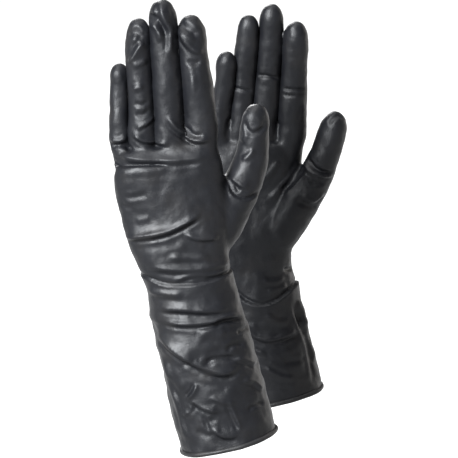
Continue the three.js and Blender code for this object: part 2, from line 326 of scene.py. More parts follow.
def add_palm(mesh):
    limb(mesh, [
        [0, 0, -26, 27.6, 21], [0, 0, -6, 28, 21], [-1.3, 0, 12, 30.2, 20.4], [-3.6, 0.5, 32, 34, 19.2],
        [-5.2, 0.5, 52, 35.6, 17.4], [-6, 0, 72, 35.2, 14.6], [-7, 0, 88, 33.6, 11],
    ], dome_start=False, dome_end=False, squareness=2.35, sides=64)


def add_cuff(mesh, glove):
    mouth = glove.mouth
    way = mouth / np.linalg.norm(mouth)

    def at(share, half_width, half_depth):
        return [*(mouth * share), half_width, half_depth]

    start = [*(-way * 14), 28, 20.5]
    past = [*(mouth + way * 8), 32.4, 29]
    limb(mesh, [start, at(0.08, 28.8, 21.6), at(0.3, 30.6, 23.2), at(0.6, 31.6, 25.4), at(0.85, 31.6, 27),
                at(1, 31.6, 28), past], dome_start=False, dome_end=False, squareness=2.1, sides=64)


def remeshed(mesh, name, voxel):
    """The union of the limbs as one even skin."""
    data = bpy.data.meshes.new(name)
    mesh.to_mesh(data)
    mesh.free()
    obj = bpy.data.objects.new(name, data)
    bpy.context.scene.collection.objects.link(obj)
    remesh = obj.modifiers.new("remesh", "REMESH")
    remesh.mode = "VOXEL"
    remesh.voxel_size = voxel * MM
    bpy.context.view_layer.update()
    made = bpy.data.meshes.new_from_object(obj.evaluated_get(bpy.context.evaluated_depsgraph_get()))
    bpy.data.objects.remove(obj)
    bpy.data.meshes.remove(data)
    return made


class Skin:
    """Vertices in glove frame mm, and the faces between them."""

    def __init__(self, data, mm):
        """mm: the length of a millimetre in the mesh given."""
        self.points = np.empty(len(data.vertices) * 3)
        data.vertices.foreach_get("co", self.points)
        self.points = self.points.reshape(-1, 3) / mm
        self.faces = [tuple(polygon.vertices) for polygon in data.polygons]
        edges = np.empty(len(data.edges) * 2, int)
        data.edges.foreach_get("vertices", edges)
        self.edges = edges.reshape(-1, 2)
        self.degree = np.bincount(self.edges.ravel(), minlength=len(self.points))

    def smooth(self, steps, weight):
        """Moves each vertex towards its neighbours' middle by its weight."""
        a, b = self.edges.T
        for _ in range(steps):
            total = np.empty_like(self.points)
            for k in range(3):
                total[:, k] = (np.bincount(a, self.points[b, k], len(self.points))
                               + np.bincount(b, self.points[a, k], len(self.points)))
            middle = total / np.maximum(self.degree, 1)[:, None]
            self.points += (middle - self.points) * np.reshape(weight, (-1, 1))

    def normals(self):
        triangles = []
        for face in self.faces:
            triangles += [(face[0], face[i], face[i + 1]) for i in range(1, len(face) - 1)]
        triangles = np.array(triangles)
        a, b, c = (self.points[triangles[:, k]] for k in range(3))
        area = np.cross(b - a, c - a)
        total = np.zeros_like(self.points)
        for k in range(3):
            for axis in range(3):
                total[:, axis] += np.bincount(triangles[:, k], area[:, axis], len(self.points))
        return total / np.maximum(np.linalg.norm(total, axis=1), 1e-12)[:, None]


def whole_skin(glove):
    """One smooth skin over the cuff, palm, thumb and fingers, with webs between them."""
    mesh = bmesh.new()
    add_cuff(mesh, glove)
    add_palm(mesh)
    add_thumb(mesh, glove)
    for finger in FINGERS:
        add_finger(mesh, glove, finger)
    skin = Skin(remeshed(mesh, f"{glove.side}_whole", VOXEL), MM)
    x, _, z = skin.points.T
    webs = smoothstep(60, 76, z) * (1 - smoothstep(90, 97, z)) * (1 - smoothstep(22, 30, x))
    crotch = np.exp(-(((x - glove.crotch[0] - 1) / 9) ** 2 + ((z - glove.crotch[2] + 4) / 11) ** 2))
    wrist = 1 - smoothstep(14, 26, np.abs(z))
    skin.smooth(10, 0.35 + 0.3 * np.clip(webs + crotch + wrist, 0, 1))
    skin.smooth(18, 0.6 * np.clip(crotch + 1.4 * wrist + 0.1 * webs, 0, 1))
    close_fingers(glove, skin)
    return skin


# ---------------------------------------------------------------- folds
def near(points, line):
    """Distance to a polyline in the glove's face, its sign (left of it is above), and how far along."""
    best = np.full(len(points), 1e9)
    signed = np.zeros(len(points))
    along = np.zeros(len(points))
    line = np.array(line, float)
    lengths = np.linalg.norm(np.diff(line, axis=0), axis=1)
    starts = np.concatenate([[0], np.cumsum(lengths)])
    for i, length in enumerate(lengths):
        way = (line[i + 1] - line[i]) / length
        offset = points - line[i]
        t = np.clip(offset @ way, 0, length)
        gap = offset - t[:, None] * way
        distance = np.linalg.norm(gap, axis=1)
        closer = distance < best
        best = np.where(closer, distance, best)
        side = np.sign(way[0] * offset[:, 1] - way[1] * offset[:, 0])
        signed = np.where(closer, side * distance, signed)
        along = np.where(closer, (starts[i] + t) / starts[-1], along)
    return best, signed, along


def fold_height(kind, u):
    """Height of a fold at u widths from its line, from -1 to 1."""
    if kind == "crease":
        return -np.exp(-u ** 2) + 0.45 * np.exp(-((np.abs(u) - 1.9) / 0.9) ** 2)
    if kind == "ridge":
        return np.exp(-u ** 2) - 0.35 * np.exp(-((np.abs(u) - 1.9) / 0.9) ** 2)
    if kind == "crest":
        return np.exp(-np.abs(u) ** 1.15) - 0.75 * np.exp(-((u + 1.7) / 0.8) ** 2)
    # a lap: the film below the line stands proud over the film above it
    below = np.exp(u / 3.2) * (1 - smoothstep(-0.35, 0.25, u))
    return below - 0.7 * np.exp(-((u - 0.75) / 0.6) ** 2)


FOLD_REACH = 8          # a fold is felt this many widths from its line
BROAD = 2.3             # the swell that carries a fold is this many times its width
BROAD_SHARE = 0.4       # and this share of its height; a lap has none


def add_folds(heights, skin, normals, folds):
    """folds: kind, side ('back', 'palm' or 'both'), width, height, curve points in (x, z)."""
    facing = normals[:, 1]
    masks = {
        "back": smoothstep(-0.05, 0.45, -facing),
        "palm": smoothstep(-0.05, 0.45, facing),
        "both": np.ones(len(facing)),
    }
    flat = skin.points[:, [0, 2]]
    for kind, side, width, height, line in folds:
        if len(line) > 2:
            line = catmull(line, 5)
        reach = FOLD_REACH * width
        low, high = np.min(line, axis=0) - reach, np.max(line, axis=0) + reach
        close = np.flatnonzero(((flat > low) & (flat < high)).all(1))
        distance, signed, along = near(flat[close], line)
        u = (signed if kind in ("lap", "crest") else distance) / width
        shape = fold_height(kind, u)
        if kind != "lap":
            shape = shape + BROAD_SHARE * fold_height(kind, u / BROAD)
        shape = shape * (1 - smoothstep(0.7, 1.0, distance / reach))
        ends = 1.0 if side == "both" else smoothstep(0, 0.22, along) * smoothstep(0, 0.22, 1 - along)
        heights[close] += height * shape * ends * masks[side][close]


# Folds on the left glove's back, from the fingertips to the knuckles. A crest has its shadow on
# the right of its way along the line, below it for a line towards +x.
LEFT_FINGERS = [
    ("crease", "back", 1.9, 2.0, [(-11, 175), (-4, 172), (-0.5, 167), (3.5, 160)]),
    ("crest", "back", 1.7, 1.6, [(-0.5, 184), (1.1, 172.5), (3.8, 164), (3.9, 158), (2.5, 146)]),
    ("ridge", "back", 1.8, 0.9, [(-6.7, 170.2), (-3.2, 164.2), (-2.5, 157)]),
    ("crest", "back", 1.8, 1.9, [(-13, 158.4), (-16.8, 154.5), (-19.8, 150.2), (-24.5, 144)]),
    ("crease", "back", 2.3, 1.5, [(-25, 163), (-18, 164.6), (-12.5, 159.5)]),
    ("ridge", "back", 1.6, 0.8, [(-23, 143), (-17, 144), (-12.5, 146.6)]),
    ("ridge", "back", 1.7, 0.8, [(-24, 127), (-20, 129), (-16, 128)]),
    ("crease", "back", 1.3, 0.8, [(-24, 119), (-19, 117.4), (-14, 119)]),
    ("crease", "back", 1.3, 0.8, [(-24, 112), (-19, 110.8), (-14, 113)]),
    ("crest", "back", 1.3, 1.2, [(-24, 102), (-18, 104.4), (-14, 107), (-12.6, 110)]),
    ("crease", "back", 2.2, 1.7, [(9.5, 167.6), (15, 164.4), (23, 158.5)]),
    ("crest", "back", 1.8, 1.7, [(10.6, 163.5), (13.6, 156), (18.5, 150), (25, 147)]),
    ("crease", "back", 1.4, 0.8, [(12.5, 143), (17.5, 141.4), (23, 142.4)]),
    ("ridge", "back", 1.8, 0.5, [(13, 147), (15.6, 137), (15.4, 120)]),
]
LEFT_KNUCKLES = [
    ("crease", "back", 1.5, 1.4, [(-42, 91), (-36, 91.8), (-31, 90), (-28.4, 86)]),
    ("ridge", "back", 1.5, 1.2, [(-41.5, 95.5), (-36, 93.8), (-30.5, 97)]),
    ("crest", "back", 1.4, 2.0, [(-27.5, 100), (-20.5, 94.4), (-13, 92.3), (-2.5, 90)]),
    ("crest", "back", 1.4, 2.5, [(-3.4, 109.5), (1.6, 100.6), (7.4, 95), (13.6, 91.2), (25, 90.4)]),
    ("crease", "back", 1.4, 0.9, [(8.6, 100.4), (12.6, 94.6), (19.5, 94.2)]),
    ("crest", "back", 1.8, 1.7, [(-43, 88.4), (-35, 84.8), (-26.6, 82.7), (-9.8, 80.3), (6, 79.6),
                                 (21, 80)]),
    ("lap", "back", 1.6, 1.9, [(-46, 79.6), (-41, 79), (-35, 77.6), (-25, 78.2), (-14, 77.6),
                               (-2, 76.6)]),
    ("ridge", "back", 2.0, 0.8, [(-38, 74.4), (-24.4, 74.4), (-6, 73.6)]),
    ("crease", "back", 1.6, 0.5, [(-37, 58.6), (-29, 58.4), (-20, 60)]),
    ("crease", "back", 1.6, 0.5, [(-38.7, 52.6), (-31, 51.4)]),
    ("ridge", "back", 1.8, 0.5, [(-30, 42), (-20, 44.4)]),
    ("crest", "back", 1.8, 2.6, [(-42, 30.6), (-24.4, 32.4), (-12, 34.2), (-2, 37.4), (14, 44.4)]),
    ("crest", "back", 1.5, 1.6, [(0.5, 32.6), (6, 29.4), (11, 27.6), (24, 26.4)]),
]
LEFT_THUMB = [
    ("lap", "back", 1.4, 1.7, [(31.6, 60), (33, 54), (37, 49.6), (43.3, 47.5), (53, 50.4)]),
    ("crest", "back", 1.3, 1.1, [(34, 63.5), (38.6, 58.4), (45.5, 54.4)]),
    ("crease", "back", 1.2, 1.0, [(36, 58.6), (38.6, 52.6)]),
    ("ridge", "back", 1.6, 0.8, [(42.4, 72.6), (47, 75.6), (51, 79)]),
    ("crease", "back", 1.4, 1.0, [(45.6, 99.5), (47.6, 92.6), (51.6, 90), (57.5, 92.4), (60, 96)]),
    ("ridge", "back", 1.6, 0.6, [(43, 84), (46, 88), (47.6, 90)]),
]
LEFT_WRIST = [
    ("lap", "both", 1.3, 1.3, [(-48, 8), (-28.5, 4.4), (-15.5, -0.4), (-1, -1.6), (13.5, -1.2),
                               (29.5, 1.6), (48, 7)]),
    ("crest", "back", 1.5, 1.3, [(-11, 1.6), (0, 4.4), (8.5, 4.4), (18, 3.8), (31, 6)]),
    ("crest", "back", 2.0, 1.7, [(-26, 12.6), (-16, 10.6), (-5, 9), (10.5, 8.2), (26, 9), (34, 11)]),
    ("ridge", "back", 1.8, 0.8, [(-12, 17.8), (2, 16), (17.5, 14.6)]),
    ("ridge", "back", 2.0, 1.3, [(-28, -4.4), (-16, -6.4), (-2.5, -7.7)]),
    ("crest", "back", 2.0, 1.9, [(-24, -15), (-14, -16.4), (-5.5, -17), (12, -19.6), (27, -20.4)]),
    ("crest", "back", 1.6, 2.1, [(-21, -24), (-12, -26.2), (-3.5, -27), (11, -27.2), (21, -25.6),
                                 (34, -27.5)]),
    ("crease", "back", 1.4, 1.0, [(14, -30.8), (22, -27.6), (34, -30)]),
]
LEFT_CUFF = [
    ("ridge", "back", 2.4, 1.0, [(2, -36), (12.5, -33), (22, -37.4)]),
    ("crest", "back", 2.1, 2.5, [(-24, -33), (-20, -37.6), (-13, -44.6), (-3, -51.6), (8, -58),
                                 (19.5, -61.4), (30, -57)]),
    ("crease", "back", 1.7, 1.2, [(3.5, -54.6), (12.5, -51.8), (21, -52.2), (29, -54)]),
    ("crease", "back", 1.5, 0.9, [(20, -47), (26, -44), (33, -46)]),
    ("crest", "back", 1.4, 1.6, [(-0.5, -67), (-3, -72.5), (-8, -78)]),
    ("crest", "back", 1.4, 1.5, [(-7, -77.5), (2, -83), (11.5, -87)]),
    ("crest", "back", 1.4, 1.4, [(18.6, -80), (22, -90), (25.5, -101)]),
    ("crest", "back", 1.5, 1.0, [(6, -75.6), (15, -80.4), (24, -81.6)]),
    ("ridge", "back", 1.3, 0.8, [(-3.6, -81), (-8, -85.4), (-13, -89.5)]),
    ("crease", "back", 1.3, 0.7, [(0.6, -88), (4.8, -100)]),
    ("crest", "back", 1.5, 1.2, [(5.5, -96.5), (13.5, -103), (23, -104)]),
    ("ridge", "back", 1.8, 0.9, [(-22.5, -47), (-18, -66), (-13, -88), (-11, -106)]),
    ("crease", "back", 1.4, 0.9, [(-19, -60), (-13.6, -80), (-9.6, -104)]),
    ("crest", "back", 1.3, 1.3, [(26, -53), (33, -56.6), (39.5, -62)]),
    ("crest", "back", 1.3, 1.2, [(29, -68), (36, -71), (42, -79)]),
    ("crease", "back", 1.3, 1.0, [(28, -38), (33, -36.6), (37, -38)]),
    ("crease", "back", 1.3, 0.9, [(30, -88), (38, -86), (42, -88)]),
]
RIGHT_PALM = [
    ("crease", "palm", 0.9, 1.1, [(-22.5, 125.8), (-16, 124.7), (-8.3, 124.4)]),
    ("crease", "palm", 0.9, 1.3, [(-7, 134.8), (0.4, 135.5), (9.2, 134.2)]),
    ("crease", "palm", 0.9, 1.1, [(10.5, 127.5), (18, 127.6), (28, 128.2)]),
    ("crease", "palm", 0.8, 0.8, [(10.6, 123.2), (18, 123.5), (28, 124.6)]),
    ("crease", "palm", 1.3, 1.6, [(31.5, 84), (34, 80.4), (38, 77), (44, 74.6), (51, 74.8)]),
    ("crest", "palm", 1.2, 1.5, [(30.4, 81), (32.6, 75.6), (39.5, 72.6), (51, 72.6)]),
    ("crease", "palm", 1.1, 0.5, [(44.5, 106), (47, 111), (51, 113.4), (55, 112)]),
    ("crease", "palm", 1.6, 1.7, [(31, 78), (26, 70), (21, 63.6), (14.5, 57)]),
    ("ridge", "palm", 1.7, 0.8, [(8, 51), (15, 58.6), (24, 69.6)]),
    ("ridge", "palm", 1.8, 0.7, [(4, 64), (8, 70), (14, 79)]),
    ("crest", "palm", 1.5, 1.4, [(29, 58.6), (34, 56), (39, 55), (45.5, 61)]),
    ("crease", "palm", 1.7, 1.3, [(34, 69), (39, 67), (45.5, 69)]),
    ("crease", "palm", 1.6, 1.0, [(27, 54.4), (35, 51), (43, 50)]),
]
RIGHT_WRIST = [
    ("lap", "both", 1.5, 2.0, [(-48, -7), (-30, -9), (-10, -13.5), (-2, -18), (7, -20.4), (15, -19),
                               (23, -14.6), (30, -9), (44, 0)]),
    ("crease", "palm", 1.3, 1.4, [(22, 4.4), (27, 3.4), (34, 6)]),
    ("ridge", "palm", 1.7, 0.7, [(8, -3), (16, -4.4), (24, -2)]),
    ("ridge", "palm", 1.7, 0.7, [(12, -11), (20, -9), (26, -6)]),
]
RIGHT_CUFF = [
    ("crest", "palm", 1.7, 1.8, [(-4, -30), (1.5, -37), (8, -42), (16, -43.6), (26, -41), (37, -36)]),
    ("crest", "palm", 1.6, 1.0, [(0, -46), (8, -51), (16, -54)]),
    ("crease", "palm", 1.5, 1.7, [(31, -18), (35, -27), (40, -38), (45, -50), (50, -72)]),
    ("ridge", "palm", 1.8, 1.2, [(35, -16), (38.5, -26), (43, -36)]),
    ("ridge", "palm", 1.7, 0.8, [(12, -26), (22, -31), (30, -31)]),
    ("ridge", "palm", 1.7, 0.7, [(14, -62), (26, -68), (38, -69)]),
]

# Finger creases that the palm side of the left glove and the back of the right glove have too.
FINGER_CREASE_WIDTH = 1.0


def finger_creases(glove, side, deep):
    """Fine creases across each stall: two at its middle joint and one at its end joint."""
    folds = []
    for finger in FINGERS:
        half = glove.fingers[finger][2] * 1.05
        for name, height, drops in (("middle", deep, (0, 3.8)), ("tip", deep * 0.6, (0,))):
            x, _, z = glove.joint(f"{finger}_{name}_bend")
            for drop in drops:
                level = z - drop
                line = [(x - half, level + 0.6), (x, level - 0.6), (x + half, level + 0.6)]
                folds.append(("crease", side, FINGER_CREASE_WIDTH, height, line))
    return folds


def scattered_folds(seed, side, count, low, high, reach, heights):
    """Loose crumples: short bent folds across the film between two heights."""
    pick = random.Random(seed)
    folds = []
    for _ in range(count):
        x = pick.uniform(-reach, reach)
        z = pick.uniform(low, high)
        length = pick.uniform(9, 22)
        angle = pick.gauss(0, 0.5)
        bow = pick.uniform(-0.25, 0.25) * length
        way = np.array([math.cos(angle), math.sin(angle)])
        side_way = np.array([-way[1], way[0]])
        middle = np.array([x, z])
        line = [tuple(middle - way * length / 2), tuple(middle + side_way * bow),
                tuple(middle + way * length / 2)]
        kind = pick.choice(("crease", "ridge", "crease"))
        folds.append((kind, side, pick.uniform(1.3, 2.3), pick.uniform(*heights), line))
    return folds


def cuff_line(glove, z):
    """How far the cuff's centre has moved in x at a height below the wrist."""
    return glove.mouth[0] * z / glove.mouth[2]


def shifted(glove, folds):
    """Folds given about the cuff's own centre line, moved to where it leans."""
    return [(kind, side, width, height, [(x + cuff_line(glove, z), z) for x, z in line])
            for kind, side, width, height, line in folds]


# Swells of the film: where in the noise they start, their length and their height.
SWELLS = ((0, 26, 1.3), (400, 10, 0.55), (900, 4.5, 0.28))
CUFF_SWELL = (90, 13, 0.8)
CUFF_SQUASH = (1, 1, 1.6)       # the cuff's swells are shorter along the arm


def film_waves(points, start, length, height):
    """Slow swells of the film, so that no stretch of it is perfectly even."""
    return np.array([noise.noise(Vector(point) / length) for point in points + start]) * height


# Radii and height of the bumps on the back, and place, radii and height of the palm's pads.
KNUCKLE_BUMP = ((7, 12, 9), 1.5)
MIDDLE_BUMP = ((7, 9, 8), 0.7)
PALM_PADS = [
    ((-26, 17, 30), (14, 12, 24), 2.4),
    ((24, 18, 34), (16, 12, 22), 2.4),
    ((-4, 17, 52), (15, 12, 20), -2.6),
]


def bump(skin, heights, normals, facing, place, radii, height):
    """A soft round rise on the palm side (facing 1) or on the back (facing -1)."""
    u = (skin.points - np.array(place)) / np.array(radii)
    mask = smoothstep(0.0, 0.5, facing * normals[:, 1])
    heights += height * np.exp(-(u ** 2).sum(1)) * mask


def hand_bumps(glove, skin, heights, normals):
    """The hand inside: knuckles and middle joints on the back, pads and hollow in the palm."""
    for finger in FINGERS:
        x, _ = glove.fingers[finger][0]
        level = glove.knuckles[2] + 0.15 * x + 2
        bump(skin, heights, normals, -1, (x * 0.97, -14, level), *KNUCKLE_BUMP)
        middle = glove.joint(f"{finger}_middle_bend")
        bump(skin, heights, normals, -1, middle - [0, 8, 0], *MIDDLE_BUMP)
    for place, radii, height in PALM_PADS:
        bump(skin, heights, normals, 1, place, radii, height)


NAIL_HEIGHT = 0.55
NAIL_LENGTH = 1.25      # of its width


def nail(glove, skin, heights, normals, node, width):
    """The nail under the film on the back of a fingertip: a low plate with an edge."""
    tip = glove.tip(node)
    joint = glove.joint(f"{node}_tip_bend")
    centre = joint * 0.38 + tip * 0.62
    x = (skin.points[:, 0] - centre[0]) / width
    z = (skin.points[:, 2] - centre[2]) / (width * NAIL_LENGTH)
    edge = 1 - smoothstep(0.75, 1.1, np.sqrt(x ** 2 + z ** 2))
    near_tip = np.abs(skin.points[:, 2] - centre[2]) < 20
    heights += NAIL_HEIGHT * edge * near_tip * smoothstep(0.1, 0.5, -normals[:, 1])


DEEPEST = 3.4           # no fold lifts or sinks the film more than this

# Loose crumples: whether on the cuff, seed, side, count, from z, to z, reach in x, heights.
LEFT_CRUMPLES = [
    (True, 11, "palm", 22, -100, -8, 24, (0.35, 0.8)),
    (True, 5, "back", 12, -104, -34, 26, (0.25, 0.5)),
    (False, 21, "palm", 9, 2, 60, 24, (0.25, 0.6)),
]
RIGHT_CRUMPLES = [
    (True, 31, "back", 20, -78, -8, 24, (0.35, 0.8)),
    (True, 8, "palm", 10, -80, -30, 26, (0.25, 0.5)),
    (False, 17, "back", 9, 2, 84, 26, (0.2, 0.45)),
]


def fold_skin(glove, skin):
    """Presses the hand's form, the film's swells and all folds into the skin."""
    normals = skin.normals()
    heights = np.zeros(len(skin.points))
    hand_bumps(glove, skin, heights, normals)
    for finger in FINGERS:
        nail(glove, skin, heights, normals, finger, glove.fingers[finger][2] * 0.58)
    nail(glove, skin, heights, normals, "thumb", 6.6)
    for swell in SWELLS:
        heights += film_waves(skin.points, *swell)
    cuff_share = 1 - smoothstep(-30, 0, skin.points[:, 2])
    heights += film_waves(skin.points * CUFF_SQUASH, *CUFF_SWELL) * cuff_share
    skin.points += normals * heights[:, None]
    skin.smooth(2, 0.5)
    if glove.side == "left":
        sets = [LEFT_FINGERS, LEFT_KNUCKLES, LEFT_THUMB, LEFT_WRIST, LEFT_CUFF]
        sets.append(finger_creases(glove, "palm", 0.9))
        crumples = LEFT_CRUMPLES
    else:
        sets = [RIGHT_PALM, RIGHT_WRIST, RIGHT_CUFF, finger_creases(glove, "back", 0.5)]
        crumples = RIGHT_CRUMPLES
    for on_cuff, *crumple in crumples:
        folds = scattered_folds(*crumple)
        sets.append(shifted(glove, folds) if on_cuff else folds)
    normals = skin.normals()
    heights = np.zeros(len(skin.points))
    for folds in sets:
        add_folds(heights, skin, normals, folds)
    skin.points += normals * (DEEPEST * np.tanh(heights / DEEPEST))[:, None]
    skin.smooth(1, 0.3)


# ---------------------------------------------------------------- the cuff mouth
def open_mouth(glove, skin):
    """Cuts the skin off square at the hand opening."""
    mesh = bmesh.new()
    verts = [mesh.verts.new(point) for point in skin.points]
    for face in skin.faces:
        mesh.faces.new([verts[i] for i in face])
    way = glove.mouth / np.linalg.norm(glove.mouth)
    bmesh.ops.bisect_plane(
        mesh, geom=mesh.verts[:] + mesh.edges[:] + mesh.faces[:], dist=1e-4,
        plane_co=Vector(glove.mouth), plane_no=Vector(way), clear_outer=True)
    data = bpy.data.meshes.new("opened")
    mesh.to_mesh(data)
    mesh.free()
    opened = Skin(data, 1)
    bpy.data.meshes.remove(data)
    return opened


def mouth_loop(skin):
    """The vertices round the hand opening, in order."""
    count = {}
    for face in skin.faces:
        for a, b in zip(face, face[1:] + face[:1]):
            key = (min(a, b), max(a, b))
            count[key] = count.get(key, 0) + 1
    neighbours = {}
    for (a, b), times in count.items():
        if times == 1:
            neighbours.setdefault(a, []).append(b)
            neighbours.setdefault(b, []).append(a)
    start = next(iter(neighbours))
    loop, previous, current = [start], None, start
    while True:
        step = [n for n in neighbours[current] if n != previous][0]
        if step == start:
            return loop
        loop.append(step)
        previous, current = current, step


BEAD_RADIUS = 1.6
BEAD_SIDES = 12
BEAD_STEPS = 160


def rolled_bead(glove, skin, material):
    """The rolled edge: a small round section swept round the hand opening."""
    loop = skin.points[mouth_loop(skin)]
    gaps = np.linalg.norm(np.roll(loop, -1, axis=0) - loop, axis=1)
    runs = np.concatenate([[0], np.cumsum(gaps)])
    closed = np.vstack([loop, loop[:1]])
    at = np.arange(BEAD_STEPS) * runs[-1] / BEAD_STEPS
    path = np.column_stack([np.interp(at, runs, closed[:, k]) for k in range(3)])
    for _ in range(6):
        path = (np.roll(path, 1, axis=0) + path * 2 + np.roll(path, -1, axis=0)) / 4
    centre = path.mean(0)
    way = glove.mouth / np.linalg.norm(glove.mouth)
    mesh = bmesh.new()
    rings = []
    for i, point in enumerate(path):
        out = point - centre
        out -= way * (out @ way)
        out /= np.linalg.norm(out)
        thick = BEAD_RADIUS * (1 + 0.08 * noise.noise(Vector(point) / 9))
        ring = []
        for angle in np.arange(BEAD_SIDES) * TAU / BEAD_SIDES:
            place = point - way * 0.6 + out * (0.15 + thick * math.cos(angle))
            place = place + way * thick * math.sin(angle)
            ring.append(mesh.verts.new(glove.outside(place)))
        rings.append(ring)
    for low, high in zip(rings, rings[1:] + rings[:1]):
        for k in range(BEAD_SIDES):
            j = (k + 1) % BEAD_SIDES
            mesh.faces.new((low[k], low[j], high[j], high[k]))
    bmesh.ops.recalc_face_normals(mesh, faces=mesh.faces[:])
    data = bpy.data.meshes.new(f"{glove.side}_rolled_bead")
    mesh.to_mesh(data)
    mesh.free()
    data.shade_smooth()
    data.materials.append(material)
    obj = bpy.data.objects.new(data.name, data)
    bpy.context.scene.collection.objects.link(obj)
    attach(obj, f"{glove.side}_cuff")
    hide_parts(f"{glove.side}_cuff_bead")
    return obj


# ---------------------------------------------------------------- pieces cut where the hand bends
CUT_MARGIN = 0.8        # cuts lie this far outside a bend, where the film doesn't turn


class Bend:
    """A stretch of skin over a joint of the hand, between one body and the next: a start, a way and a
    length.
    """

    def __init__(self, place, way, before, after):
        self.way = np.array(way, float) / np.linalg.norm(way)
        self.start = np.array(place, float) - self.way * before
        self.end = np.array(place, float) + self.way * after

    def past_start(self, points):
        return (points - self.start) @ self.way > -CUT_MARGIN

    def past_end(self, points):
        return (points - self.end) @ self.way > CUT_MARGIN


def finger_bends(glove, finger):
    """The middle and end bends of a finger, which share the film between the two joints."""
    _, root, middle, end, tip = finger_line(glove, finger)
    middle_way = (end - root) / np.linalg.norm(end - root)
    end_way = (tip - middle) / np.linalg.norm(tip - middle)
    apart = np.linalg.norm(end - middle) - 2 * CUT_MARGIN
    return (Bend(middle, middle_way, apart * 0.52, apart * 0.52),
            Bend(end, end_way, apart * 0.48, apart * 0.48))


def skin_piece(glove, skin, normals, chosen, name, material):
    """A closed shell of the chosen faces: the outside, the inside and the cut edges."""
    faces = [skin.faces[i] for i in np.flatnonzero(chosen)]
    used = sorted({v for face in faces for v in face})
    index = {v: i for i, v in enumerate(used)}
    count = len(used)
    outer = skin.points[used]
    inner = outer - normals[used] * FILM
    place = glove.outside(np.vstack([outer, inner]))
    flip = glove.palm_sign < 0
    edges = {}
    made = []
    for face in faces:
        corners = [index[v] for v in face]
        if flip:
            corners = corners[::-1]
        made.append(corners)
        for a, b in zip(corners, corners[1:] + corners[:1]):
            edges[(a, b)] = edges.get((a, b), 0) + 1
    shell = list(made)
    shell += [[v + count for v in corners[::-1]] for corners in made]
    shell += [[b, a, a + count, b + count] for a, b in edges if (b, a) not in edges]
    data = bpy.data.meshes.new(f"{glove.side}_{name}")
    data.from_pydata([tuple(p) for p in place], [], shell)
    data.shade_smooth()
    outward = (normals[used] * [1, glove.palm_sign, 1]) @ glove.turn.T
    both = np.vstack([outward, -outward])
    data.normals_split_custom_set_from_vertices([tuple(n) for n in both])
    data.materials.append(material)
    obj = bpy.data.objects.new(data.name, data)
    bpy.context.scene.collection.objects.link(obj)
    return obj


def bend_piece(glove, obj, bend, nodes):
    """Bakes a piece's placement into its mesh, in place of the CAD nodes named, which it hides."""
    start, end = glove.outside([bend.start, bend.end])
    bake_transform(obj)
    if nodes:
        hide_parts(*[f"{glove.side}_{node}" for node in nodes])


# How far a bend reaches before and after its joint.
KNUCKLE_REACH = (9, 23)
WRIST_REACH = (26, 24)
THUMB_REACH = (1, 10)
THUMB_END_REACH = (8.5, 11)
KNUCKLE_TILT = 9        # degrees: the knuckles lie lower towards the little finger
FINGER_FLOOR = 88       # no finger piece reaches below this height


def divide(glove, skin, material):
    """Divides the skin where the hand bends. Each piece's edges lie outside its bend."""
    normals = skin.normals()
    centres = np.array([skin.points[list(face)].mean(0) for face in skin.faces])
    tilt = math.radians(KNUCKLE_TILT)
    knuckle = Bend(glove.knuckles, (-math.sin(tilt), 0, math.cos(tilt)), *KNUCKLE_REACH)
    cuff_way = -glove.mouth / np.linalg.norm(glove.mouth)
    wrist = Bend((0, 0, 0), cuff_way + [0, 0, 1], *WRIST_REACH)
    thumb = Bend(glove.crotch, (0.6, 0, 0.8), *THUMB_REACH)
    base, end, tip = thumb_line(glove)
    thumb_end = Bend(end, tip - base, *THUMB_END_REACH)

    finger_lines = [np.array(finger_line(glove, finger)[1:]) for finger in FINGERS]
    to_fingers = np.array([distance_to_line(centres, line) for line in finger_lines])
    halves = np.array([glove.fingers[finger][2] for finger in FINGERS])
    nearest = (to_fingers / halves[:, None]).argmin(0)
    to_thumb = distance_to_line(centres, [base, end, tip])
    palm_line = [np.array([glove.fingers["index"][0][0] + 2, 0, z]) for z in (50, 120)]
    thumb_side = to_thumb < distance_to_line(centres, palm_line)

    left_over = np.ones(len(centres), bool)

    def take(chosen):
        taken = chosen & left_over
        left_over[taken] = False
        return taken

    for k, finger in enumerate(FINGERS):
        middle_bend, end_bend = finger_bends(glove, finger)
        own = (nearest == k) & ~thumb_side & (centres[:, 2] > FINGER_FLOOR)
        tip_faces = take(own & end_bend.past_start(centres))
        middle_faces = take(own & middle_bend.past_start(centres))
        obj = skin_piece(glove, skin, normals, tip_faces, f"{finger}_end_skin", material)
        bend_piece(glove, obj, end_bend, [f"{finger}_tip"])
        obj = skin_piece(glove, skin, normals, middle_faces, f"{finger}_middle_skin", material)
        bend_piece(glove, obj, middle_bend, [f"{finger}_middle"])
    thumb_faces = take(thumb_side & thumb_end.past_start(centres))
    obj = skin_piece(glove, skin, normals, thumb_faces, "thumb_end_skin", material)
    bend_piece(glove, obj, thumb_end, ["thumb_tip"])
    knuckle_faces = take(knuckle.past_start(centres) & ~thumb_side)
    obj = skin_piece(glove, skin, normals, knuckle_faces, "knuckle_skin", material)
    bend_piece(glove, obj, knuckle, ["knuckle_band"] + [f"{f}_stall" for f in FINGERS])
    palm_faces = take(wrist.past_end(centres))
    obj = skin_piece(glove, skin, normals, palm_faces, "palm_skin", material)
    bend_piece(glove, obj, thumb, ["palm", "thumb_base"])
    obj = skin_piece(glove, skin, normals, left_over, "gauntlet_skin", material)
    bend_piece(glove, obj, wrist, ["cuff"])


